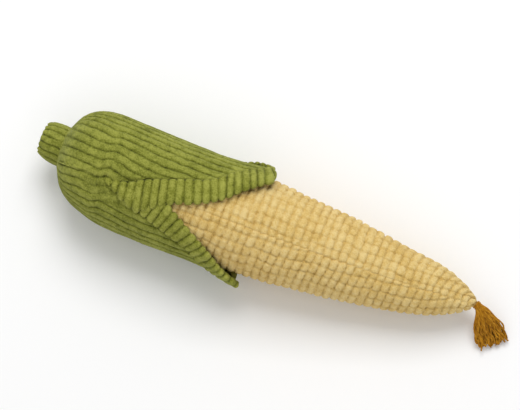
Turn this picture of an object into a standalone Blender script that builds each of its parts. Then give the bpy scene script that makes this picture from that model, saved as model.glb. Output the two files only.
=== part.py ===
"""Corn cob soft toy: a stuffed plush cob in a two-leaf corduroy husk, with a yarn tassel.

Metres, +Z up. The toy lies on z = 0 with its axis along X: stem end at -X, tassel at +X.
Lengths in the tables below are millimetres. S is the distance along the axis, and angles are
measured around the axis from the middle of the opening between the two leaves.
"""
import math
import bmesh
import bpy
from mathutils import Vector

NAME = "corn_cob_soft_toy"
MM = 0.001

# ---- driving dimensions (mm, degrees) --------------------------------------------------
OPENING_ROLL = 22.0          # opening's middle, from straight up towards -Y
COB_SEAM_ROLL = 14.5         # cob cover's front seam, from straight up towards -Y
FABRIC_GAP = 0.6             # clearance left where two pieces meet in a seam
BAND_GAP = 1.8               # the same between two edge bands
HUSK_THICKNESS = 4.2         # corduroy panel with its lining
COVER_THICKNESS = 3.0        # kernel plush
BAND_PUFF = 0.8              # how far the band's middle stands out
STEM_THICKNESS = 2.6
LAYER_GAP = 0.9              # clearance between nested layers
FLOOR_STEP = 0.6             # the same clearance where the layers lie flat on the floor
FILLING_GAP = 1.5            # clearance between a cover and its filling

# centre line: (s, y) and (s, z)
CENTRE_Y = [(-7, 2.4), (16, 0.5), (44, -1.6), (80, -4.6), (120, -5.7), (190, -5.6),
            (235, -4.9), (290, -2.7), (344, -1.0), (380, 1.6), (418, 3.5)]
CENTRE_Z = [(-7, 45.0), (16, 46.5), (40, 48.0), (190, 48.0), (216, 46.0), (253, 42.4),
            (289, 38.8), (325, 35.0), (362, 31.5), (400, 28.0), (418, 27.0)]

# outer radius of each covering: (s, radius)
HUSK_R = [(15.2, 20.8), (18, 26.0), (21, 31.5), (25.5, 37.0), (30, 40.6), (34.5, 43.2),
          (44, 46.9), (53, 49.0), (62, 50.2), (73, 50.8), (84, 51.0), (149, 50.6),
          (172, 51.2), (185, 52.6), (198, 55.0), (207, 56.0)]
COB_R = [(38, 38.5), (46, 42.4), (56, 44.4), (70, 45.5), (90, 45.9), (170, 45.9), (200, 45.8),
         (216, 45.0), (234, 43.5), (253, 41.4), (271, 39.8), (289, 38.3), (307, 35.6),
         (325, 32.9), (344, 30.1), (362, 27.0), (380, 22.6), (392, 18.2), (402, 13.6),
         (409, 9.0), (414, 5.2), (416, 2.4)]
STEM_R = [(-5.2, 14.6), (-3.6, 16.0), (0, 17.4), (7, 18.1), (15, 18.2), (23, 17.9)]

# edge band, from where it starts in the valley to the leaf's tip:
# (s, angle) on the side sewn to the panel, then (s, angle) on the free edge
BAND = [(73.0, 3.0, 73.5, 0.0), (84.0, 8.5, 87.0, 0.0), (96.0, 14.5, 101.0, 0.0),
        (106.0, 19.5, 112.0, 0.0), (116.0, 24.0, 122.0, 0.5), (127.0, 28.5, 134.0, 6.5),
        (138.0, 33.5, 146.0, 13.5), (148.0, 38.0, 156.0, 20.0), (158.0, 44.0, 166.0, 27.0),
        (166.0, 54.0, 174.5, 34.5), (172.0, 62.0, 181.0, 42.0), (178.5, 69.0, 187.0, 49.0),
        (186.0, 76.5, 194.0, 56.0), (193.5, 83.0, 201.0, 65.0), (198.5, 88.0, 206.0, 80.0),
        (201.5, 90.0, 207.5, 90.0)]
PANEL_S = [15.2, 18, 21, 25.5, 30, 34.5, 44, 53, 62, 73, 84, 96, 106, 116, 127, 138, 148,
           158, 166, 172, 178.5, 186, 193.5]

# tassel: centre of each section (s, y, z), half width, half thickness
TASSEL = [((422.2, 2.6, 26.2), 2.7, 2.6), ((426.2, -2.0, 24.4), 4.4, 3.2),
          ((430.6, -8.2, 19.0), 7.8, 3.8), ((435.2, -15.0, 11.6), 9.6, 3.9),
          ((439.6, -22.0, 6.2), 10.6, 3.6), ((443.6, -28.6, 4.2), 11.0, 3.0)]
TIE_RADIUS, TIE_YARN = 4.4, 1.1

# middle of the toy's bounding box in S and Y, and the height of the floor
TOY_CENTRE = (222.164, -5.483, 0.0)


def curve(table, s):
    """Smooth curve through a table of (s, value) points."""
    if s <= table[0][0]:
        return table[0][1]
    if s >= table[-1][0]:
        return table[-1][1]
    i = max(k for k in range(len(table) - 1) if table[k][0] <= s)
    (s0, v0), (s1, v1) = table[i], table[i + 1]
    chord = (v1 - v0) / (s1 - s0)

    def slope(k):
        if k == 0 or k == len(table) - 1:
            return chord
        left = (table[k][1] - table[k - 1][1]) / (table[k][0] - table[k - 1][0])
        right = (table[k + 1][1] - table[k][1]) / (table[k + 1][0] - table[k][0])
        return 0.0 if left * right <= 0 else 2 * left * right / (left + right)

    t, h = (s - s0) / (s1 - s0), s1 - s0
    return ((2 * t**3 - 3 * t**2 + 1) * v0 + (t**3 - 2 * t**2 + t) * h * slope(i)
            + (3 * t**2 - 2 * t**3) * v1 + (t**3 - t**2) * h * slope(i + 1))


def inward(table, s, depth):
    """Point of the profile at s moved in by depth, square to the profile."""
    low, high = max(s - 0.5, table[0][0]), min(s + 0.5, table[-1][0])
    ds = (curve(table, high) - curve(table, low)) / (high - low)
    length = math.hypot(1.0, ds)
    return s + depth * ds / length, curve(table, s) - depth / length


def on_toy(s, roll, radius, floor=0.0):
    """Point at s along the axis; roll in degrees from straight up towards -Y."""
    a = math.radians(roll)
    y = curve(CENTRE_Y, s) - radius * math.sin(a)
    z = curve(CENTRE_Z, s) + radius * math.cos(a)
    return (s, y, max(z, floor))


def cob_floor(s):
    """Height at which the cob's cover flattens: on the husk's layer, then on the floor."""
    inside = HUSK_THICKNESS + FLOOR_STEP
    t = min(max((s - 190.0) / 30.0, 0.0), 1.0)
    return inside * (1.0 - t)


# ---- modelling helpers -----------------------------------------------------------------
def finish(obj, colour):
    """Name the mesh, give the piece its own material and shade it smooth."""
    obj.data.name = obj.name
    material = bpy.data.materials.new(obj.name)
    material.use_nodes = True
    shader = material.node_tree.nodes["Principled BSDF"]
    shader.inputs["Base Color"].default_value = (*colour, 1)
    shader.inputs["Roughness"].default_value = 0.9
    shader.inputs["Metallic"].default_value = 0.0
    obj.data.materials.append(material)
    obj.data.shade_smooth()
    obj.data.set_sharp_from_angle(angle=math.radians(50))
    if obj.name not in collection.objects:
        for other in obj.users_collection:
            other.objects.unlink(obj)
        collection.objects.link(obj)
    return obj


def fabric(name, rows, cols, place, thickness, colour):
    """Shell of fabric: a grid whose points place(i, j) lays out, thickened inwards."""
    bm = bmesh.new()
    bmesh.ops.create_grid(bm, x_segments=cols - 1, y_segments=rows - 1, size=1.0)
    for vert in bm.verts:
        i = round((vert.co.y + 1) / 2 * (rows - 1))
        j = round((vert.co.x + 1) / 2 * (cols - 1))
        vert.co = [c * MM for c in place(i, j)]
    middle = sum((v.co for v in bm.verts), Vector()) / len(bm.verts)
    face = min(bm.faces, key=lambda f: (f.calc_center_median() - middle).length)
    axis = Vector((0, curve(CENTRE_Y, middle.x / MM), curve(CENTRE_Z, middle.x / MM))) * MM
    out = face.calc_center_median() - axis
    face.normal_update()
    if face.normal.y * out.y + face.normal.z * out.z < 0:
        bmesh.ops.reverse_faces(bm, faces=bm.faces)
    mesh = bpy.data.meshes.new(name)
    bm.to_mesh(mesh)
    bm.free()
    obj = bpy.data.objects.new(name, mesh)
    collection.objects.link(obj)
    shell = obj.modifiers.new("thickness", "SOLIDIFY")
    shell.thickness = thickness * MM
    shell.offset = -1.0
    shell.use_even_offset = True
    return finish(obj, colour)


def turned(name, profile, steps, start, end, colour):
    """Closed (s, radius) profile turned about the line between two points of the toy."""
    mesh = bpy.data.meshes.new(name)
    points = [(r * MM, 0.0, (s - profile[0][0]) * MM) for s, r in reversed(profile)]
    closed = profile[0][1] > 0
    edges = [(i, i + 1) for i in range(len(points) - 1)]
    if closed:
        edges.append((len(points) - 1, 0))
    mesh.from_pydata(points, edges, [])
    obj = bpy.data.objects.new(name, mesh)
    collection.objects.link(obj)
    screw = obj.modifiers.new("turn", "SCREW")
    screw.axis = "Z"
    screw.steps = screw.render_steps = steps
    screw.use_merge_vertices = True
    screw.merge_threshold = 0.00001
    line = Vector(end) - Vector(start)
    obj.rotation_euler = line.to_track_quat("Z", "Y").to_euler()
    at = Vector(start) + line * ((profile[0][0] - start[0]) / line.x)
    obj.location = at * MM
    return finish(obj, colour)


def loft(name, rings, colour):
    """Closed solid through unlike sections: a capped cylinder, one ring to a section."""
    count = len(rings[0])
    bm = bmesh.new()
    bmesh.ops.create_cone(bm, cap_ends=True, segments=count, radius1=1, radius2=1, depth=2)
    sides = [e for e in bm.edges if abs(e.verts[0].co.z - e.verts[1].co.z) > 1]
    bmesh.ops.subdivide_edges(bm, edges=sides, cuts=len(rings) - 2, use_grid_fill=True)
    for vert in bm.verts:
        i = round((vert.co.z + 1) / 2 * (len(rings) - 1))
        j = round(math.atan2(vert.co.y, vert.co.x) / (2 * math.pi) * count) % count
        vert.co = [c * MM for c in rings[i][j]]
    caps = [f for f in bm.faces if len(f.verts) == count]
    bmesh.ops.poke(bm, faces=caps)
    bmesh.ops.recalc_face_normals(bm, faces=bm.faces)
    mesh = bpy.data.meshes.new(name)
    bm.to_mesh(mesh)
    bm.free()
    return finish(bpy.data.objects.new(name, mesh), colour)


def spread(j, count):
    """Even steps from 0 to 1 with a narrow first and last one, so that a seam stays square."""
    narrow = 0.012
    if j in (0, count - 1):
        return float(j > 0)
    return narrow + (1 - 2 * narrow) * (j - 1) / (count - 3)


# ---- pieces ----------------------------------------------------------------------------
def cob_cover(name, side):
    """Half of the cob's cover; side +1 lies towards -Y, side -1 towards +Y."""
    stations = [38, 46, 56, 70, 90, 120, 150, 180, 200, 216, 234, 253, 271, 289, 307, 325,
                344, 362, 380, 392, 402, 409, 414, 416]

    def place(i, j):
        s = stations[i]
        radius = curve(COB_R, s)
        gap = math.degrees(FABRIC_GAP / 2 / radius)
        return on_toy(s, COB_SEAM_ROLL + side * (gap + (180 - 2 * gap) * spread(j, 15)), radius,
                      cob_floor(s))

    fabric(name, len(stations), 15, place, COVER_THICKNESS, YELLOW)


def husk_panel(name, side):
    """One husk panel with its leaf, without the edge bands."""
    edge = [(b[0], b[1]) for b in BAND]
    gap = math.degrees(FABRIC_GAP / 2 / 51.0)

    def place(i, j):
        s = PANEL_S[i]
        start = gap if s < 70 else curve(edge, s) + 5 * gap
        return on_toy(s, OPENING_ROLL + side * (start + (180 - 2 * start) * spread(j, 17)),
                      curve(HUSK_R, s))

    fabric(name, len(PANEL_S), 17, place, HUSK_THICKNESS, GREEN)


def edge_band(name, side, back):
    """Edge band on one side of a leaf, from the valley to the leaf's tip."""
    gap = math.degrees(BAND_GAP / 2 / 51.0)

    def place(i, j):
        s_sewn, a_sewn, s_free, a_free = BAND[i]
        t = j / 3
        s = s_sewn + (s_free - s_sewn) * t
        a = min(a_sewn, 90 - gap) * (1 - t) + max(min(a_free, 90 - gap), gap) * t
        puff = BAND_PUFF if 0 < j < 3 and i > 0 else 0.0
        return on_toy(s, OPENING_ROLL + side * (180 - a if back else a),
                      curve(HUSK_R, s) + puff)

    fabric(name, len(BAND), 4, place, HUSK_THICKNESS, GREEN_BAND)


def stem():
    """Corduroy tube, the disc that closes it, and its filling."""
    start = (-7.0, curve(CENTRE_Y, -7), curve(CENTRE_Z, -7))
    end = (24.0, curve(CENTRE_Y, 24), curve(CENTRE_Z, 24))
    inside = [(s, r - STEM_THICKNESS) for s, r in reversed(STEM_R)]
    turned("stem_cover", STEM_R + inside, 24, start, end, GREEN)
    turned("stem_end_disc", [(-7.4, 0), (-7.4, 12.2), (-7.0, 13.5), (-6.2, 14.1), (-5.6, 13.9),
                             (-5.6, 0)], 24, start, end, GREEN)
    turned("stem_filling", [(-4.9, 0), (-4.9, 10.4), (-3.2, 12.0), (0, 13.4), (7, 14.2),
                            (15, 14.3), (22.4, 14.0), (22.4, 0)], 20, start, end, FILL)


def cob_filling():
    """Stuffing inside the cob's cover, bent and flattened as the cover is."""
    rings = []
    for station in (42, 48, 58, 74, 100, 150, 180, 200, 216, 234, 253, 271, 289, 307, 325,
                    344, 362, 380, 390, 398):
        s, radius = inward(COB_R, station, COVER_THICKNESS + FILLING_GAP)
        floor = cob_floor(s) + COVER_THICKNESS + FILLING_GAP
        rings.append([on_toy(s, COB_SEAM_ROLL + 360 * j / 28, radius, floor)
                      for j in range(28)])
    loft("cob_filling", rings, FILL)


def husk_base_filling():
    """Stuffing in the dome behind the cob's base."""
    start = (24.6, curve(CENTRE_Y, 31), curve(CENTRE_Z, 31))
    end = (37.4, start[1], start[2])
    dome = [inward(HUSK_R, s, HUSK_THICKNESS + LAYER_GAP + 0.6) for s in (24, 28, 33)]
    profile = [(24.6, 0), (24.6, 17.0)] + dome + [(37.4, dome[-1][1] + 0.6), (37.4, 0)]
    turned("husk_base_filling", profile, 28, start, end, FILL)


def tassel_tie():
    """A ring of yarn around the neck of the tassel, square to the way the tassel leaves."""
    neck, after = Vector(TASSEL[0][0]), Vector(TASSEL[1][0])
    bpy.ops.mesh.primitive_torus_add(
        location=neck * MM, rotation=(after - neck).to_track_quat("Z", "Y").to_euler(),
        major_segments=20, minor_segments=8, major_radius=TIE_RADIUS * MM,
        minor_radius=TIE_YARN * MM)
    bpy.context.object.name = "tassel_tie"
    finish(bpy.context.object, OCHRE)


def tassel_yarns():
    """The bundle of yarns: round at the tie, fanned out and flat where it meets the floor."""
    sections = [((418.6, 4.6, 27.0), 2.2, 2.1)] + TASSEL
    rings = []
    for i, (centre, half_width, half_thick) in enumerate(sections):
        before, after = sections[max(i - 1, 0)][0], sections[min(i + 1, len(sections) - 1)][0]
        along = (Vector(after) - Vector(before)).normalized()
        across = Vector((-along.y, along.x, 0)).normalized()
        up = along.cross(across)
        ring = []
        for j in range(16):
            a = 2 * math.pi * j / 16
            p = Vector(centre) + across * half_width * math.cos(a) + up * half_thick * math.sin(a)
            ring.append((p.x, p.y, max(p.z, 0.0)))
        rings.append(ring)
    loft("tassel_yarns", rings, OCHRE_YARN)


# ---- build -----------------------------------------------------------------------------
for old in list(bpy.data.objects):
    bpy.data.objects.remove(old, do_unlink=True)
collection = bpy.data.collections.new(NAME)
bpy.context.scene.collection.children.link(collection)

GREEN, GREEN_BAND = (0.21, 0.23, 0.045), (0.25, 0.27, 0.06)
YELLOW, FILL = (0.60, 0.42, 0.16), (0.85, 0.84, 0.80)
OCHRE, OCHRE_YARN = (0.38, 0.18, 0.02), (0.42, 0.20, 0.03)

cob_cover("cob_cover_upper", -1)
cob_cover("cob_cover_lower", 1)
husk_panel("husk_panel_upper", -1)
husk_panel("husk_panel_lower", 1)
for label, side in (("upper", -1), ("lower", 1)):
    edge_band(f"{label}_leaf_band_front", side, False)
    edge_band(f"{label}_leaf_band_back", side, True)
cob_filling()
husk_base_filling()
stem()
tassel_tie()
tassel_yarns()

# one empty carries every piece and puts the origin under the middle of the bounding box
rest = bpy.data.objects.new("toy", None)
collection.objects.link(rest)
rest.location = [-c * MM for c in TOY_CENTRE]
for obj in list(collection.objects):
    if obj is not rest:
        obj.parent = rest
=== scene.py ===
"""Corn cob soft toy: plush cob with quilted kernels, corduroy husk with banded leaves, yarn tassel.

Lengths are millimetres until a mesh is made. S is the distance along the toy's axis and roll is
degrees around it, from straight up towards -Y.
"""
import math

import bpy
import numpy as np
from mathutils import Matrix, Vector


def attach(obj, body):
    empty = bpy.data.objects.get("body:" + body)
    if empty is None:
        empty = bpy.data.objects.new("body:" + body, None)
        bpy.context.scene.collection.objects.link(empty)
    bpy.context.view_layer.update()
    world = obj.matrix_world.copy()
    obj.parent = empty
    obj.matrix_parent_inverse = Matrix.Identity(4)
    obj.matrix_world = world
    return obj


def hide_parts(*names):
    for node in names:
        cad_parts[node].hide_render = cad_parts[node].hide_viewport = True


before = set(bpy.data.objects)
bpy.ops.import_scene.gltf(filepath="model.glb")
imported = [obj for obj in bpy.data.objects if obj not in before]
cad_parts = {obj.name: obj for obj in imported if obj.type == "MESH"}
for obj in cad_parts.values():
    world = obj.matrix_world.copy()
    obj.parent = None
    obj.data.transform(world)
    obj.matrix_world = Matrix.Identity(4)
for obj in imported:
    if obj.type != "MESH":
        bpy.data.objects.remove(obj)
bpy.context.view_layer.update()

MM = 0.001
ORIGIN = np.array([222.164, -5.483, 0.0])     # S, Y and Z of the frame's origin

# ---- the toy's form (mm, degrees), as in the CAD ---------------------------------------
VIEW_ROLL = 11.0              # the side of the toy that faces up and a little to -Y
OPENING_ROLL = 22.0
COB_SEAM_ROLL = 14.5
CENTRE_Y = [(-7, 2.4), (16, 0.5), (44, -1.6), (80, -4.6), (120, -5.7), (190, -5.6),
            (235, -4.9), (290, -2.7), (344, -1.0), (380, 1.6), (418, 3.5)]
CENTRE_Z = [(-7, 45.0), (16, 46.5), (40, 48.0), (190, 48.0), (216, 46.0), (253, 42.4),
            (289, 38.8), (325, 35.0), (362, 31.5), (400, 28.0), (418, 27.0)]
HUSK_R = [(15.2, 20.8), (18, 26.0), (21, 31.5), (25.5, 37.0), (30, 40.6), (34.5, 43.2),
          (44, 46.9), (53, 49.0), (62, 50.2), (73, 50.8), (84, 51.0), (149, 50.6),
          (172, 51.2), (185, 52.6), (198, 55.0), (207, 56.0)]
COB_R = [(38, 38.5), (46, 42.4), (56, 44.4), (70, 45.5), (90, 45.9), (170, 45.9), (200, 45.8),
         (216, 45.0), (234, 43.5), (253, 41.4), (271, 39.8), (289, 38.3), (307, 35.6),
         (325, 32.9), (344, 30.1), (362, 27.0), (380, 22.6), (392, 18.2), (402, 13.6),
         (409, 9.0), (414, 5.2), (416.5, 2.0)]
STEM_R = [(-7, 14.2), (-5.2, 15.6), (-2, 17.0), (2, 17.8), (8, 18.2), (24, 18.2)]

# leaf band: (s, angle) on the sewn edge, then on the free edge; angles from the opening.
# The last rows close the leaf's tip, which the CAD leaves square.
BAND = [(70.0, 4.0, 70.5, 0.0), (84.0, 8.5, 87.0, 0.0), (96.0, 14.5, 101.0, 0.0),
        (106.0, 19.5, 112.0, 0.0), (116.0, 24.0, 122.0, 0.5), (127.0, 28.5, 134.0, 6.5),
        (138.0, 33.5, 146.0, 13.5), (148.0, 38.0, 156.0, 20.0), (158.0, 44.0, 166.0, 27.0),
        (166.0, 54.0, 174.5, 34.5), (172.0, 62.0, 181.0, 42.0), (178.5, 69.0, 187.0, 49.0),
        (186.0, 76.5, 194.0, 56.0), (193.5, 83.0, 201.0, 65.0), (198.5, 88.0, 206.0, 78.0),
        (201.5, 90.0, 203.5, 90.0)]

# the upper leaf's front band, which laps over the lower leaf near the seam
UPPER_FRONT = [(66.0, 3.5, 66.5, -1.0), (76.0, 5.3, 76.5, -3.0), (83.0, 7.0, 84.0, -5.5),
               (90.0, 9.5, 92.5, -9.8), (96.7, 14.5, 101.5, -13.0), (103.5, 18.5, 108.5, -7.5),
               (110.0, 22.0, 115.0, -2.6), (117.0, 25.0, 122.0, 2.5), (124.0, 28.0, 129.0, 7.0),
               (131.0, 31.5, 136.0, 10.8), (138.0, 34.8, 144.5, 14.0), (146.0, 37.5, 152.0, 18.0),
               (152.5, 41.0, 159.0, 22.0), (158.5, 45.5, 165.5, 26.6), (166.0, 53.5, 172.5, 32.0),
               (172.0, 62.0, 179.0, 39.5), (178.5, 69.0, 185.5, 47.0), (186.0, 76.5, 193.0, 54.5),
               (193.5, 83.0, 200.0, 61.5), (198.5, 88.0, 206.5, 70.0), (201.5, 90.0, 203.5, 90.0)]

HUSK_WIDEST = 51.0            # radius at which the wales are a full pitch apart
WALE, BAND_WALE = 8.3, 7.6    # corduroy pitch on the panels and on the bands
WALE_HEIGHT = 2.1
KERNEL_LONG, KERNEL_ROUND = 7.5, 10.1
KERNEL_HEIGHT = 3.0
FUZZ = 0.22                   # unevenness of the pile
PARTING = 72                  # S from which the panels' front edges lie under the bands
HUSK_RIM = 15.2               # S of the husk's edge around the stem
STEM_END = -7.0
STEM_WALES = 16
DISC_RADIUS, DISC_WALE = 13.6, 7.2
STRANDS, STRAND_RADIUS, WRAP_RADIUS = 96, 0.88, 0.95
PLY_LOW, PLY_RISE = 0.76, 0.30           # two-ply yarn: thinnest part of its radius, and the rest


# ---- numbers ---------------------------------------------------------------------------
def smooth(table):
    """Function that runs a smooth curve through (x, value) points."""
    xs, ys = np.array(table, float).T
    h = np.diff(xs)
    d = np.diff(ys) / h
    m = np.zeros_like(ys)
    m[0], m[-1] = d[0], d[-1]
    for i in range(1, len(xs) - 1):
        if d[i - 1] * d[i] > 0:
            m[i] = 2 * d[i - 1] * d[i] / (d[i - 1] + d[i])

    def value(x):
        x = np.clip(np.asarray(x, float), xs[0], xs[-1])
        i = np.clip(np.searchsorted(xs, x, side="right") - 1, 0, len(xs) - 2)
        t = (x - xs[i]) / h[i]
        return ((2 * t**3 - 3 * t**2 + 1) * ys[i] + (t**3 - 2 * t**2 + t) * h[i] * m[i]
                + (3 * t**2 - 2 * t**3) * ys[i + 1] + (t**3 - t**2) * h[i] * m[i + 1])
    return value


def step(lo, hi, x):
    t = np.clip((x - lo) / (hi - lo), 0, 1)
    return t * t * (3 - 2 * t)


def hash01(i, j, seed):
    v = np.sin(i * 127.1 + j * 311.7 + seed * 74.7) * 43758.5453
    return v - np.floor(v)


def noise2(x, y, seed=0):
    """Smooth value noise from -1 to 1, one cell to a unit."""
    xi, yi = np.floor(x), np.floor(y)
    tx, ty = x - xi, y - yi
    tx, ty = tx * tx * (3 - 2 * tx), ty * ty * (3 - 2 * ty)
    a, b = hash01(xi, yi, seed), hash01(xi + 1, yi, seed)
    c, d = hash01(xi, yi + 1, seed), hash01(xi + 1, yi + 1, seed)
    return 2 * ((a * (1 - tx) + b * tx) * (1 - ty) + (c * (1 - tx) + d * tx) * ty) - 1


def fbm(x, y, seed=0):
    return (noise2(x, y, seed) + 0.5 * noise2(x * 2.1, y * 2.1, seed + 5)
            + 0.25 * noise2(x * 4.3, y * 4.3, seed + 9)) / 1.75


cy, cz = smooth(CENTRE_Y), smooth(CENTRE_Z)
husk_r, cob_r, stem_r = smooth(HUSK_R), smooth(COB_R), smooth(STEM_R)


def lay(s, roll, profile, lift, floor=0.0):
    """Points on the toy: profile's surface at s and roll, raised by lift along its normal."""
    slope = (profile(s + 0.5) - profile(s - 0.5))
    size = np.hypot(1, slope)
    radius = profile(s) + lift / size
    at = s - lift * slope / size
    a = np.radians(roll)
    y = cy(at) - radius * np.sin(a)
    z = cz(at) + radius * np.cos(a)
    soft = 0.5
    z = floor + soft * np.logaddexp(0, (z - floor) / soft)
    return np.stack(np.broadcast_arrays(at, y, z), axis=-1)


# ---- meshes ----------------------------------------------------------------------------
def to_frame(points):
    return (np.asarray(points, float) - ORIGIN) * MM


def mesh_object(name, points, faces, marks=None):
    """Object from points in mm; marks are named numbers, one to a point."""
    mesh = bpy.data.meshes.new(name)
    mesh.from_pydata(to_frame(points).tolist(), [], faces)
    for mark, values in (marks or {}).items():
        layer = mesh.attributes.new(mark, "FLOAT", "POINT")
        layer.data.foreach_set("value", np.ascontiguousarray(values, np.float32).ravel())
    mesh.update()
    mesh.shade_smooth()
    obj = bpy.data.objects.new(name, mesh)
    bpy.context.scene.collection.objects.link(obj)
    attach(obj, "root")
    return obj


def grid_faces(rows, cols, wrap=False, turn=False):
    i, j = np.meshgrid(np.arange(rows - 1), np.arange(cols if wrap else cols - 1),
                       indexing="ij")
    k = (j + 1) % cols
    quad = np.stack([i * cols + j, i * cols + k, (i + 1) * cols + k, (i + 1) * cols + j], -1)
    quad = quad.reshape(-1, 4)
    return (quad[:, ::-1] if turn else quad).tolist()


def grid_object(name, points, marks=None, wrap=False, turn=False):
    rows, cols = points.shape[:2]
    return mesh_object(name, points.reshape(-1, 3), grid_faces(rows, cols, wrap, turn),
                       {k: np.broadcast_to(v, (rows, cols)).reshape(-1)
                        for k, v in (marks or {}).items()})


# ---- fabrics as shapes -----------------------------------------------------------------
def wale(w):
    """Corduroy ridge: 1 on the crown, 0 in the groove; w counts wales."""
    x = np.abs(2 * (w - np.floor(w)) - 1)          # 0 on the crown, 1 in the groove
    return np.sqrt(np.clip(1 - x ** 3.2, 0, 1))


def kernel(u, v, seed):
    """Quilted kernel: height 0 to 1, and each kernel's own shade; u and v count kernels."""
    iu = np.floor(u)
    v = v + 0.16 * (hash01(iu, 3.0, seed) - 0.5)
    iv = np.floor(v)
    x, y = 2 * (u - iu) - 1, 2 * (v - iv) - 1
    own = hash01(iu, iv, seed)
    x = x + 0.30 * (hash01(iu, iv, seed + 3) - 0.5) * (1 - x * x)
    y = y + 0.34 * (hash01(iu, iv, seed + 4) - 0.5) * (1 - y * y)
    rib = np.sqrt(np.clip(1 - np.abs(x) ** 2.8, 0, 1))
    pillow = np.sqrt(np.clip(1 - np.abs(x) ** 2.8 - np.abs(y) ** 5.5, 0, 1))
    return (0.40 * rib + 0.60 * pillow) * (0.86 + 0.26 * own), own


# ---- cob -------------------------------------------------------------------------------
def cob_panel(name, side, node):
    s_axis = np.concatenate([np.arange(100, 405, 0.95), np.arange(405, 416.6, 0.7)])
    length = np.concatenate([[0], np.cumsum(np.hypot(np.diff(s_axis), np.diff(cob_r(s_axis))))])
    cols = 150
    s, t = np.meshgrid(s_axis, np.linspace(0, 1, cols), indexing="ij")
    angle = -3 + 186 * t                           # each edge is tucked in under the other
    roll = COB_SEAM_ROLL + side * angle
    radius = cob_r(s)
    arc = np.radians(angle) * radius
    u = np.broadcast_to(length[:, None], s.shape)
    if side < 0:
        v = arc / KERNEL_ROUND + 0.42
        u = u - 9.0 * step(300, 400, s) * (angle / 90) ** 2
    else:
        v = (arc - radius * math.radians(50)) / KERNEL_ROUND + 0.35
        u = u + 0.10 * radius * np.radians(angle - 20)
    u = u / KERNEL_LONG + 0.20 * noise2(u / 26, v / 2.3, 3 + side)
    v = v + 0.16 * noise2(u / 3.1, v / 2.7, 7 + side)
    h, own = kernel(u, v, 11 + side)
    seam = np.minimum(arc, math.pi * radius - arc)
    pinch = step(0.0, 1.6, seam)
    tucked = np.minimum(seam, 0)
    lump = fbm(s / 34, roll / 30, 21)
    lift = (KERNEL_HEIGHT * (h * (0.75 + 0.25 * pinch) - 0.72) + 1.5 * tucked
            + 0.8 * lump + FUZZ * fbm(s / 2.4, arc / 2.4, 35))
    # creases 1 mm deep, pressed in between two columns of kernels
    for at, lo, hi in ((148.0, -20, 28), (204.0, -2, 24)):
        around = step(lo - 8, lo, roll) * (1 - step(hi, hi + 10, roll))
        lift = lift - np.exp(-((s - at) / 1.3) ** 2) * around
    points = lay(s, roll, cob_r, lift)
    shade = 0.5 + 0.5 * fbm(u / 2.6, v / 1.7, 31)
    obj = grid_object(name, points, {"height": h, "own": own, "nap": shade}, turn=side < 0)
    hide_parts(*node)
    return obj


# ---- husk ------------------------------------------------------------------------------
shear = smooth([(15, -4.6), (40, -2.8), (58, -2.0), (63, 0.4), (68, 2.6), (74, 2.2), (90, 0.6),
                (105, 0.0), (210, 0.0)])


def wale_line(s, roll):
    """Arc in mm, at the husk's widest, of the wale that passes through a point.

    On top the wales lie straight and parallel; round the sides they gather towards the stem.
    """
    degrees = (roll - VIEW_ROLL + 180) % 360 - 180
    lean = np.radians(degrees)
    bent = shear(s) * (0.3 + 0.7 * step(-60, -10, degrees))
    across = np.clip((husk_r(s) * np.sin(lean) + bent) / HUSK_WIDEST, -1, 1)
    side = step(38, 80, np.abs(degrees))
    return HUSK_WIDEST * (np.arcsin(across) * (1 - side) + lean * side)


OPENING_ACROSS = HUSK_WIDEST * math.sin(math.radians(OPENING_ROLL - VIEW_ROLL))


def seam_roll(s, back):
    """Roll of the seam between the two husk panels."""
    if back:
        across = np.clip(OPENING_ACROSS / husk_r(s), -1, 1)
        return VIEW_ROLL + 180 + np.degrees(np.arcsin(across))
    across = np.clip((OPENING_ACROSS - shear(s)) / husk_r(s), -1, 1)
    return VIEW_ROLL + np.degrees(np.arcsin(across))


sewn_at = smooth([(s, a) for s, a, _, _ in BAND])


def panel_lift(s, roll, seed):
    """Height of the husk's corduroy over its base, with what the material needs to know."""
    w = wale_line(s, roll) - HUSK_WIDEST * math.radians(OPENING_ROLL - VIEW_ROLL)
    w = (w / WALE + 0.13 * noise2(s / 22, roll / 40, seed)
         + 0.07 * noise2(s / 7, roll / 14, seed + 1))
    h = wale(w)
    worn = (step(36, 50, s) * (1 - step(94, 108, s)) * step(21, 26, roll)
            * (1 - step(38, 50, roll)))
    tuck = (np.exp(-((s - 65 - 0.10 * (roll - 10)) / 4.2) ** 2)
            * step(-42, -16, roll) * (1 - step(18, 26, roll)))
    pucker = (np.exp(-((s - 64) / 9.0) ** 2) * step(2, 12, roll) * (1 - step(24, 34, roll)))
    rough = fbm(s / 4.5, roll / 5.0, seed + 4)
    fluff = fbm(s / 2.2, roll * 0.42, seed + 12)
    h = h * (1 - 0.72 * worn) + worn * (0.55 + 0.22 * rough)
    lump = fbm(s / 36, roll / 34, seed + 8)
    lift = (WALE_HEIGHT * (h - 0.8) + 0.8 * lump - 1.3 * tuck + 0.7 * tuck * rough
            + FUZZ * fluff)
    lift = lift + pucker * (1.1 * np.sin(s * 1.15 + roll * 0.22) - 0.3)
    lift = lift + worn * (0.8 * noise2(s / 7, roll / 8, seed + 2) - 0.3)
    nap = (0.42 + 0.50 * fbm(s / 11, roll / 9, seed + 6) + 0.30 * rough + 0.30 * tuck
           + 0.15 * worn)
    return lift, h, np.clip(nap, 0, 1)


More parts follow.
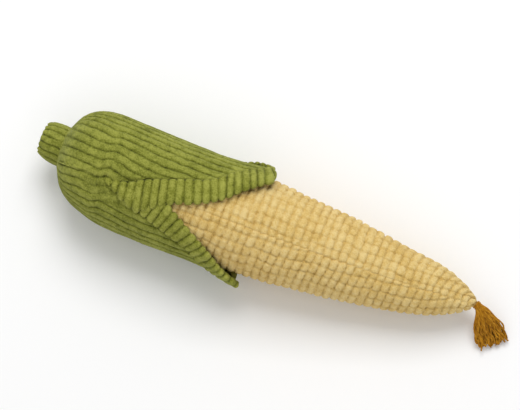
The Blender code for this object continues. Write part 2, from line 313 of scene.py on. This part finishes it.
def husk_panel(name, side, node):
    s_axis = np.concatenate([np.arange(HUSK_RIM, 40, 0.8), np.arange(40, 200.0, 1.15)])
    cols = 230
    s, t = np.meshgrid(s_axis, np.linspace(0, 1, cols), indexing="ij")
    under = np.clip(sewn_at(s) - 5.0, 0, 88)
    front = np.where(s < PARTING, 0.0, under)
    first, last = seam_roll(s, False), seam_roll(s, True)
    if side > 0:
        lo, hi = first + front, last - front
    else:
        lo, hi = first - front, last - 360 + front
    roll = lo + (hi - lo) * t
    lift, h, nap = panel_lift(s, roll, 40 + side)
    arc = np.radians(np.minimum(np.abs(roll - lo), np.abs(hi - roll))) * husk_r(s)
    edge = np.exp(-(arc / 1.6) ** 2)
    sink = np.where(s < PARTING, 0.9 * edge, 0)
    below = step(6.5, 2.5, arc) * step(70, 80, s)
    lift = lift - sink - 1.8 * below
    # ragged selvedge that shows along the front seam of the dome
    frayed = 0.0
    if side < 0:
        near = np.radians(lo - roll) * husk_r(s)
        frayed = ((1 - step(1.6, 3.0, near + 1.2 * noise2(s / 2.1, near * 0, 19)))
                  * (1 - step(38, 46, s)))
        lift = lift + 2.0 * frayed
        nap = np.maximum(nap, frayed)
    rim = np.exp(-((s - HUSK_RIM) / 2.2) ** 2)
    lift = lift * (1 - rim) + 0.4 * rim
    points = lay(s, roll, husk_r, lift)
    obj = grid_object(name, points, {"height": np.maximum(h, frayed), "nap": nap,
                                     "own": 0.5 + 0.5 * noise2(s / 30, roll / 9, 77)},
                      turn=side < 0)
    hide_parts(*node)
    return obj


def leaf_band(name, side, back, node):
    """Edge band: wales run from the sewn edge, over the leaf's rim and in under it."""
    rows = np.array(UPPER_FRONT if side < 0 and not back else BAND)
    if side > 0 and not back:
        rows[:, 3] += 7.0 * step(110, 180, rows[:, 2]) * (1 - step(190, 207, rows[:, 2]))
    if back:
        shorter = rows[:, 2] - 5.0 * step(184, 203, rows[:, 2])
        rows[:, 2] = np.maximum(shorter, rows[:, 0] + 1.5)
    along = np.concatenate([[0], np.cumsum(np.hypot(
        np.diff(0.5 * (rows[:, 0] + rows[:, 2])),
        np.diff(np.radians(0.5 * (rows[:, 1] + rows[:, 3])) * HUSK_WIDEST)))])
    n = int(along[-1] / 0.75)
    x = np.linspace(0, along[-1], n)
    sewn_s, sewn_a, free_s, free_a = (smooth(list(zip(along, rows[:, k])))(x) for k in range(4))
    w = x / BAND_WALE + 0.12 * noise2(x / 15, x * 0, 61 + side)
    groove = np.abs(2 * (w - np.floor(w)) - 1) ** 2.4
    ridge = np.sqrt(1 - groove)
    # across the strip: flat from the sewn edge to the rim, round the rim, then back under
    flat = np.linspace(0, 1, 30)
    turn = np.linspace(0, math.pi, 12)[1:]
    under = np.linspace(0, 0.9, 10)[1:]
    path_across = np.concatenate([flat, np.ones(len(turn)), 1 - under])
    path_bend = np.concatenate([np.zeros(len(flat)), turn, np.full(len(under), math.pi)])
    X, A = np.meshgrid(np.arange(n), np.arange(len(path_across)), indexing="ij")
    across, bend = path_across[A], path_bend[A]
    s = sewn_s[X] + (free_s - sewn_s)[X] * across
    a = sewn_a[X] + (free_a - sewn_a)[X] * across
    wide_s = (free_s - sewn_s)[X]
    wide_a = np.radians((free_a - sewn_a)[X]) * HUSK_WIDEST
    width = np.hypot(wide_s, wide_a)
    half = 2.8 * step(0, 20, x)[X] * np.clip(width / 12, 0.25, 1)
    size = step(3, 10, width)
    out = np.sin(bend) * (half + 2.0 * ridge[X] * size)
    out = out + np.where(bend > 0, 2.0 * (ridge[X] - 0.7) * size, 0)
    s = s + wide_s / width * out
    a = a + np.degrees(wide_a / width * out / HUSK_WIDEST)
    if back:
        a = 180 - a
    height = half * np.cos(bend)
    # each wale ends rounded at the seam
    seam = np.where(bend == 0, np.clip(1 - across * width / 3.2, 0, 1) ** 2.2, 0)
    crown = np.sqrt(np.clip(1 - groove[X] - seam, 0, 1))
    crown = np.where(bend < 2.2, crown, 0.5)
    lift = height + 2.6 * (crown - 0.8) - 1.1 * seam - 0.7
    lift = lift + FUZZ * fbm(s / 2.2, a / 2.4, 51 + side)
    if side < 0 and not back:
        lift = lift + 1.8 * (1 - step(112, 124, sewn_s[X])) * step(0.3, 0.9, across)
    if back:
        lift = lift + 1.6 * step(158, 176, s) * (1 - step(186, 198, s))
    roll = OPENING_ROLL + side * a
    points = lay(s, roll, husk_r, lift)
    nap = np.clip(0.5 + 0.4 * fbm(X / 9.0, A / 7.0, 90 + side), 0, 1)
    obj = grid_object(name, points, {"height": crown, "nap": nap,
                                     "own": hash01(np.floor(w)[X], X * 0 + 2.0, 5 + side)},
                      turn=(side > 0) != back)
    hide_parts(*node)
    return obj


# ---- stem ------------------------------------------------------------------------------
def stem_pieces():
    """Stem tube with its turned-in end, and the disc that closes it."""
    s_axis = np.concatenate([np.linspace(STEM_END, -4, 7), np.arange(-3.2, 24, 0.9)])
    cols = 256
    s, t = np.meshgrid(s_axis, np.arange(cols) / cols, indexing="ij")
    roll = 360 * t
    w = t * STEM_WALES + 0.10 * noise2(s / 9, t * 12, 15)
    h = wale(w)
    lift = 2.1 * (h - 0.75) + 0.5 * fbm(s / 12, t * 7, 3) + 0.25 * fbm(s / 2.2, t * 50, 6)
    end = 1 - step(STEM_END, -3.0, s)
    points = lay(s, roll, stem_r, lift - 0.6 * end * (1 - h))
    points[..., 0] += end * (1.4 - 2.4 * h)
    middle = np.array([0, cy(STEM_END), cz(STEM_END)])
    points[0] = middle + (points[1] - middle) * [1, 0.7, 0.7] + [1.5, 0, 0]      # turned in
    marks = {"height": h, "nap": 0.5 + 0.4 * fbm(s / 8, t * 14, 8),
             "own": hash01(np.floor(w), s * 0, 3)}
    obj = grid_object("stem_fabric", points, marks, wrap=True)
    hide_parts("stem_cover", "stem_filling")

    r, t = np.meshgrid(np.linspace(0.02, 1, 22), np.arange(96) / 96, indexing="ij")
    a = 2 * math.pi * t
    px, py = r * DISC_RADIUS * np.cos(a), r * DISC_RADIUS * np.sin(a)
    h = wale(py / DISC_WALE + 0.5)
    bulge = -2.0 * (1 - r ** 2) + 1.2 * step(0.75, 1.0, r) - 0.9 * h
    points = np.stack([STEM_END + 0.4 + bulge, cy(STEM_END) - px, cz(STEM_END) + py], -1)
    marks = {"height": h, "nap": 0.5 + 0.4 * fbm(px / 6, py / 6, 4), "own": 0.4}
    disc = grid_object("stem_end_fabric", points, marks, wrap=True)
    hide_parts("stem_end_disc")
    return obj, disc


def hem_ring():
    """Turned-in edge of the husk around the stem."""
    t, b = np.meshgrid(np.arange(240) / 240, np.arange(12) / 12, indexing="ij")
    a, bend = 2 * math.pi * t, 2 * math.pi * b
    rough = 0.5 * fbm(t * 60, b * 3, 12)
    tube = 0.9 + 0.45 * rough
    radius = 19.8 + 0.7 * noise2(t * 16, t * 0, 4) + tube * np.cos(bend)
    s = 15.0 + 0.5 * noise2(t * 11, t * 0, 6) + tube * np.sin(bend)
    points = np.stack([s, cy(s) - radius * np.sin(a), cz(s) + radius * np.cos(a)], -1)
    points = np.concatenate([points, points[:1]])
    marks = {"height": 0.75, "nap": 0.7, "own": 0.6}
    obj = grid_object("husk_hem", points, marks, wrap=True, turn=True)
    return obj


# ---- tassel ----------------------------------------------------------------------------
TASSEL = [(415.0, 4.2, 26.8), (418.8, 3.0, 26.6), (423.6, 0.0, 24.6), (429.4, -5.2, 19.0),
          (435.2, -10.8, 12.0), (440.2, -16.0, 6.6), (444.2, -20.4, 4.4), (447.0, -23.6, 3.6)]
# half of the fan's breadth and thickness, by the fraction of its length
TASSEL_HALF = [(0, 2.2), (0.10, 3.2), (0.25, 6.8), (0.45, 11.2), (0.7, 14.2), (1.0, 15.0)]
TASSEL_THICK = [(0, 1.9), (0.12, 2.5), (0.3, 3.2), (0.6, 3.6), (1, 2.6)]
GOLDEN_ANGLE = 2.399963


def smooth_path(points, count):
    """Count points evenly along a smooth curve through a few."""
    points = np.array(points, float)
    d = np.concatenate([[0], np.cumsum(np.linalg.norm(np.diff(points, axis=0), axis=1))])
    at = np.linspace(0, d[-1], count)
    return np.stack([smooth(list(zip(d, points[:, k])))(at) for k in range(3)], -1)


def strand(path, radius, twist, sides=8, phase=0.0, taper=0.8):
    """Two-ply yarn along a path: points as a grid, and the height of the ply."""
    tangent = np.gradient(path, axis=0)
    tangent /= np.linalg.norm(tangent, axis=1)[:, None]
    ref = np.array([0.2, 0.1, 1.0])
    side = np.cross(tangent, ref)
    side /= np.linalg.norm(side, axis=1)[:, None]
    up = np.cross(side, tangent)
    n = len(path)
    i, b = np.meshgrid(np.arange(n), np.arange(sides) / sides, indexing="ij")
    bend = 2 * math.pi * b
    turn = twist * i + phase
    ply = np.abs(np.cos(bend - turn))
    end = np.minimum(1.0, taper + (1 - taper) * np.minimum(i, n - 1 - i) / 2.0)
    r = radius * (PLY_LOW + PLY_RISE * ply) * end
    points = (path[:, None, :] + side[:, None, :] * (r * np.cos(bend))[..., None]
              + up[:, None, :] * (r * np.sin(bend))[..., None])
    return points, ply


def tube_faces(rows, cols, base=0):
    """Faces of a tube with closed ends, its points numbered from base."""
    faces = grid_faces(rows, cols, wrap=True, turn=True)
    faces.append(list(range(cols)))
    faces.append([(rows - 1) * cols + j for j in reversed(range(cols))])
    return [[base + k for k in face] for face in faces]


def tassel():
    core = smooth_path(TASSEL, 46)
    tangent = np.gradient(core, axis=0)
    tangent /= np.linalg.norm(tangent, axis=1)[:, None]
    across = np.stack([-tangent[:, 1], tangent[:, 0], 0 * tangent[:, 0]], -1)
    across /= np.linalg.norm(across, axis=1)[:, None]
    up = np.cross(tangent, across)
    x = np.linspace(0, 1, len(core))
    half = smooth(TASSEL_HALF)(x)
    thick = smooth(TASSEL_THICK)(x)
    verts, faces, heights, owns = [], [], [], []
    count = 0
    for k in range(STRANDS):
        out = math.sqrt((k + 0.5) / STRANDS)
        u, v = out * math.cos(k * GOLDEN_ANGLE), out * math.sin(k * GOLDEN_ANGLE)
        own = float(hash01(k, 1.0, 5))
        bow = 1.7 * np.sin(x * (9 + 8 * own) + own * 40) * x
        bow2 = 1.2 * np.sin(x * (11 + 6 * own) + own * 70) * x
        path = core + across * (u * half + bow)[:, None] + up * (v * thick + bow2)[:, None]
        cut = int(len(core) * (0.82 + 0.18 * float(hash01(k, 2.0, 9))))
        path = path[:cut]
        path[:, 2] = np.maximum(path[:, 2], 1.0 + 0.5 * own)
        ring, ply = strand(path, STRAND_RADIUS, 0.62, phase=own * 6)
        verts.append(ring.reshape(-1, 3))
        heights.append(ply.reshape(-1))
        owns.append(np.full(ply.size, own))
        faces += tube_faces(*ply.shape, base=count)
        count += ply.size
    obj = mesh_object("tassel_strands", np.concatenate(verts), faces,
                      {"height": np.concatenate(heights), "own": np.concatenate(owns),
                       "nap": np.concatenate(owns)})
    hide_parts("tassel_yarns")

    # tie: a few turns of the same yarn around the neck
    at, turns, per_turn, pitch = 4, 3.2, 26, 1.7
    i = np.arange(int(turns * per_turn))
    ang = 2 * math.pi * i / per_turn
    lead = (i / per_turn - turns / 2) * pitch
    r = 3.2 + 0.25 * np.sin(ang * 2.3)
    path = (core[at] + across[at] * (r * np.cos(ang))[:, None]
            + up[at] * (r * np.sin(ang))[:, None] + tangent[at] * lead[:, None])
    ring, ply = strand(path, WRAP_RADIUS, 0.7)
    marks = {"height": ply, "own": np.full(ply.size, 0.3), "nap": np.full(ply.size, 0.3)}
    tie = mesh_object("tassel_wrap", ring.reshape(-1, 3), tube_faces(*ply.shape), marks)
    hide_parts("tassel_tie")
    return obj, tie


# ---- materials -------------------------------------------------------------------------
def srgb(r, g, b):
    return tuple(((c / 255 + 0.055) / 1.055) ** 2.4 if c > 10 else c / 255 / 12.92
                 for c in (r, g, b)) + (1.0,)


def pile(name, deep, mid, light, groove=0.62, fine=900.0, patch=45.0, bump=0.6, sheen=0.16,
         rough=0.9, tint=(1, 1, 1, 1)):
    """Pile fabric: painted shade in the grooves, painted highlight on the crowns, patchy where the
    nap turns.
    """
    mat = bpy.data.materials.new(name)
    mat.use_nodes = True
    nodes, links = mat.node_tree.nodes, mat.node_tree.links
    nodes.clear()
    out = nodes.new("ShaderNodeOutputMaterial")
    bsdf = nodes.new("ShaderNodeBsdfPrincipled")
    links.new(bsdf.outputs[0], out.inputs[0])
    coord = nodes.new("ShaderNodeTexCoord")

    def attribute(label):
        node = nodes.new("ShaderNodeAttribute")
        node.attribute_name = label
        return node.outputs["Fac"]

    def noise(scale, detail=3.0, roughness=0.6):
        node = nodes.new("ShaderNodeTexNoise")
        node.inputs["Scale"].default_value = scale
        node.inputs["Detail"].default_value = detail
        node.inputs["Roughness"].default_value = roughness
        links.new(coord.outputs["Object"], node.inputs["Vector"])
        return node.outputs["Fac"]

    def maths(op, a, b, clamp=False):
        node = nodes.new("ShaderNodeMath")
        node.operation, node.use_clamp = op, clamp
        for k, v in enumerate((a, b)):
            if isinstance(v, (int, float)):
                node.inputs[k].default_value = v
            else:
                links.new(v, node.inputs[k])
        return node.outputs[0]

    grain, blotch, soft = noise(fine, 4.0, 0.7), noise(patch, 4.0, 0.6), noise(patch * 5, 3.0)
    # painted shade and painted highlight: the height mark darkens the grooves and lightens the
    # crowns, by as much as groove
    level = maths("ADD", maths("MULTIPLY", attribute("height"), groove), 0.62 - groove)
    level = maths("ADD", level, maths("MULTIPLY", attribute("nap"), 0.26))
    level = maths("ADD", level, maths("MULTIPLY", attribute("own"), 0.10))
    level = maths("ADD", level, maths("MULTIPLY", maths("SUBTRACT", blotch, 0.5), 0.55))
    level = maths("ADD", level, maths("MULTIPLY", maths("SUBTRACT", soft, 0.5), 0.90))
    level = maths("ADD", level, maths("MULTIPLY", maths("SUBTRACT", grain, 0.5), 1.30), True)
    # deep is the painted groove shade and light the painted crown highlight; the random patches
    # reach both too
    ramp = nodes.new("ShaderNodeValToRGB")
    ramp.color_ramp.elements[0].position, ramp.color_ramp.elements[0].color = 0.0, deep
    ramp.color_ramp.elements[1].position, ramp.color_ramp.elements[1].color = 1.0, light
    middle = ramp.color_ramp.elements.new(0.55)
    middle.color = mid
    links.new(level, ramp.inputs[0])
    links.new(ramp.outputs[0], bsdf.inputs["Base Color"])
    height = maths("ADD", maths("MULTIPLY", grain, 0.6), maths("MULTIPLY", soft, 0.4))
    bumper = nodes.new("ShaderNodeBump")
    bumper.inputs["Strength"].default_value = bump
    bumper.inputs["Distance"].default_value = 0.0020
    links.new(height, bumper.inputs["Height"])
    links.new(bumper.outputs[0], bsdf.inputs["Normal"])
    bsdf.inputs["Roughness"].default_value = rough
    bsdf.inputs["Specular IOR Level"].default_value = 0.15
    bsdf.inputs["Sheen Weight"].default_value = sheen
    bsdf.inputs["Sheen Roughness"].default_value = 0.45
    bsdf.inputs["Sheen Tint"].default_value = tint
    return mat


# colours run deep, mid, light: painted groove shade, the fabric's own colour, painted crown
# highlight
GREEN = pile("husk_corduroy", srgb(46, 50, 8), srgb(114, 119, 41), srgb(154, 157, 70),
             tint=(0.75, 0.80, 0.45, 1))
GREEN_BAND = pile("band_corduroy", srgb(46, 50, 8), srgb(120, 124, 41), srgb(160, 162, 74),
                  tint=(0.75, 0.80, 0.45, 1))
PLUSH = pile("kernel_plush", srgb(174, 138, 68), srgb(222, 187, 108), srgb(240, 213, 146),
             groove=0.32, bump=1.0, tint=(1.0, 0.92, 0.70, 1))
YARN = pile("ochre_yarn", srgb(112, 68, 2), srgb(172, 116, 18), srgb(206, 152, 44), fine=1600,
            bump=0.3, sheen=0.1, tint=(1.0, 0.8, 0.5, 1))


def dress(obj, mat):
    obj.data.materials.clear()
    obj.data.materials.append(mat)


dress(cob_panel("cob_plush_upper", -1, ["cob_cover_upper"]), PLUSH)
dress(cob_panel("cob_plush_lower", 1, ["cob_cover_lower", "cob_filling"]), PLUSH)
dress(husk_panel("husk_corduroy_upper", -1, ["husk_panel_upper"]), GREEN)
dress(husk_panel("husk_corduroy_lower", 1, ["husk_panel_lower", "husk_base_filling"]), GREEN)
for label, side in (("upper", -1), ("lower", 1)):
    for face, back in (("front", False), ("back", True)):
        dress(leaf_band(f"{label}_band_{face}", side, back, [f"{label}_leaf_band_{face}"]),
              GREEN_BAND)
for piece in stem_pieces():
    dress(piece, GREEN)
dress(hem_ring(), GREEN_BAND)
for piece in tassel():
    dress(piece, YARN)

# ---- floor, light, camera --------------------------------------------------------------
def plain(name, colour):
    mat = bpy.data.materials.new(name)
    mat.use_nodes = True
    shader = mat.node_tree.nodes["Principled BSDF"]
    shader.inputs["Base Color"].default_value = colour
    shader.inputs["Roughness"].default_value = 0.95
    shader.inputs["Specular IOR Level"].default_value = 0.0
    return mat


bpy.ops.mesh.primitive_plane_add(size=8, location=(0, 0, 0))
floor = bpy.context.object
floor.name = "floor"
dress(floor, plain("floor", (0.93, 0.93, 0.93, 1)))


def area_light(name, place, target, size, power):
    data = bpy.data.lights.new(name, "AREA")
    data.energy, data.size = power, size
    light = bpy.data.objects.new(name, data)
    bpy.context.scene.collection.objects.link(light)
    light.location = place
    light.rotation_euler = (Vector(target) - Vector(place)).to_track_quat("-Z", "Y").to_euler()


area_light("key", place=(-0.3, 1.0, 1.9), target=(0, 0, 0.03), size=1.2, power=26)
area_light("fill", place=(0.6, -1.4, 1.6), target=(0, 0, 0.03), size=1.6, power=3)
world = bpy.data.worlds.new("studio")
world.use_nodes = True
world.node_tree.nodes["Background"].inputs[0].default_value = (1, 1, 1, 1)
world.node_tree.nodes["Background"].inputs[1].default_value = 0.62
bpy.context.scene.world = world
bpy.context.scene.view_settings.view_transform = "Standard"

SENSOR, VIEW_WIDTH = 36, 0.4751          # VIEW_WIDTH: metres across the picture at the toy
AZIMUTH, ELEVATION, DISTANCE = math.radians(21.2), math.radians(79), 2.0
target = Vector((-0.0005, 0.003, 0.040))
direction = Vector((math.sin(AZIMUTH) * math.cos(ELEVATION),
                    -math.cos(AZIMUTH) * math.cos(ELEVATION), math.sin(ELEVATION)))
cam_data = bpy.data.cameras.new("camera")
cam_data.sensor_width = SENSOR
cam_data.lens = SENSOR * DISTANCE / VIEW_WIDTH
cam_data.shift_x, cam_data.shift_y = -0.0277, 0.0522
camera = bpy.data.objects.new("camera", cam_data)
bpy.context.scene.collection.objects.link(camera)
camera.location = target + direction * DISTANCE
camera.rotation_euler = (-direction).to_track_quat("-Z", "Y").to_euler()
bpy.context.scene.camera = camera
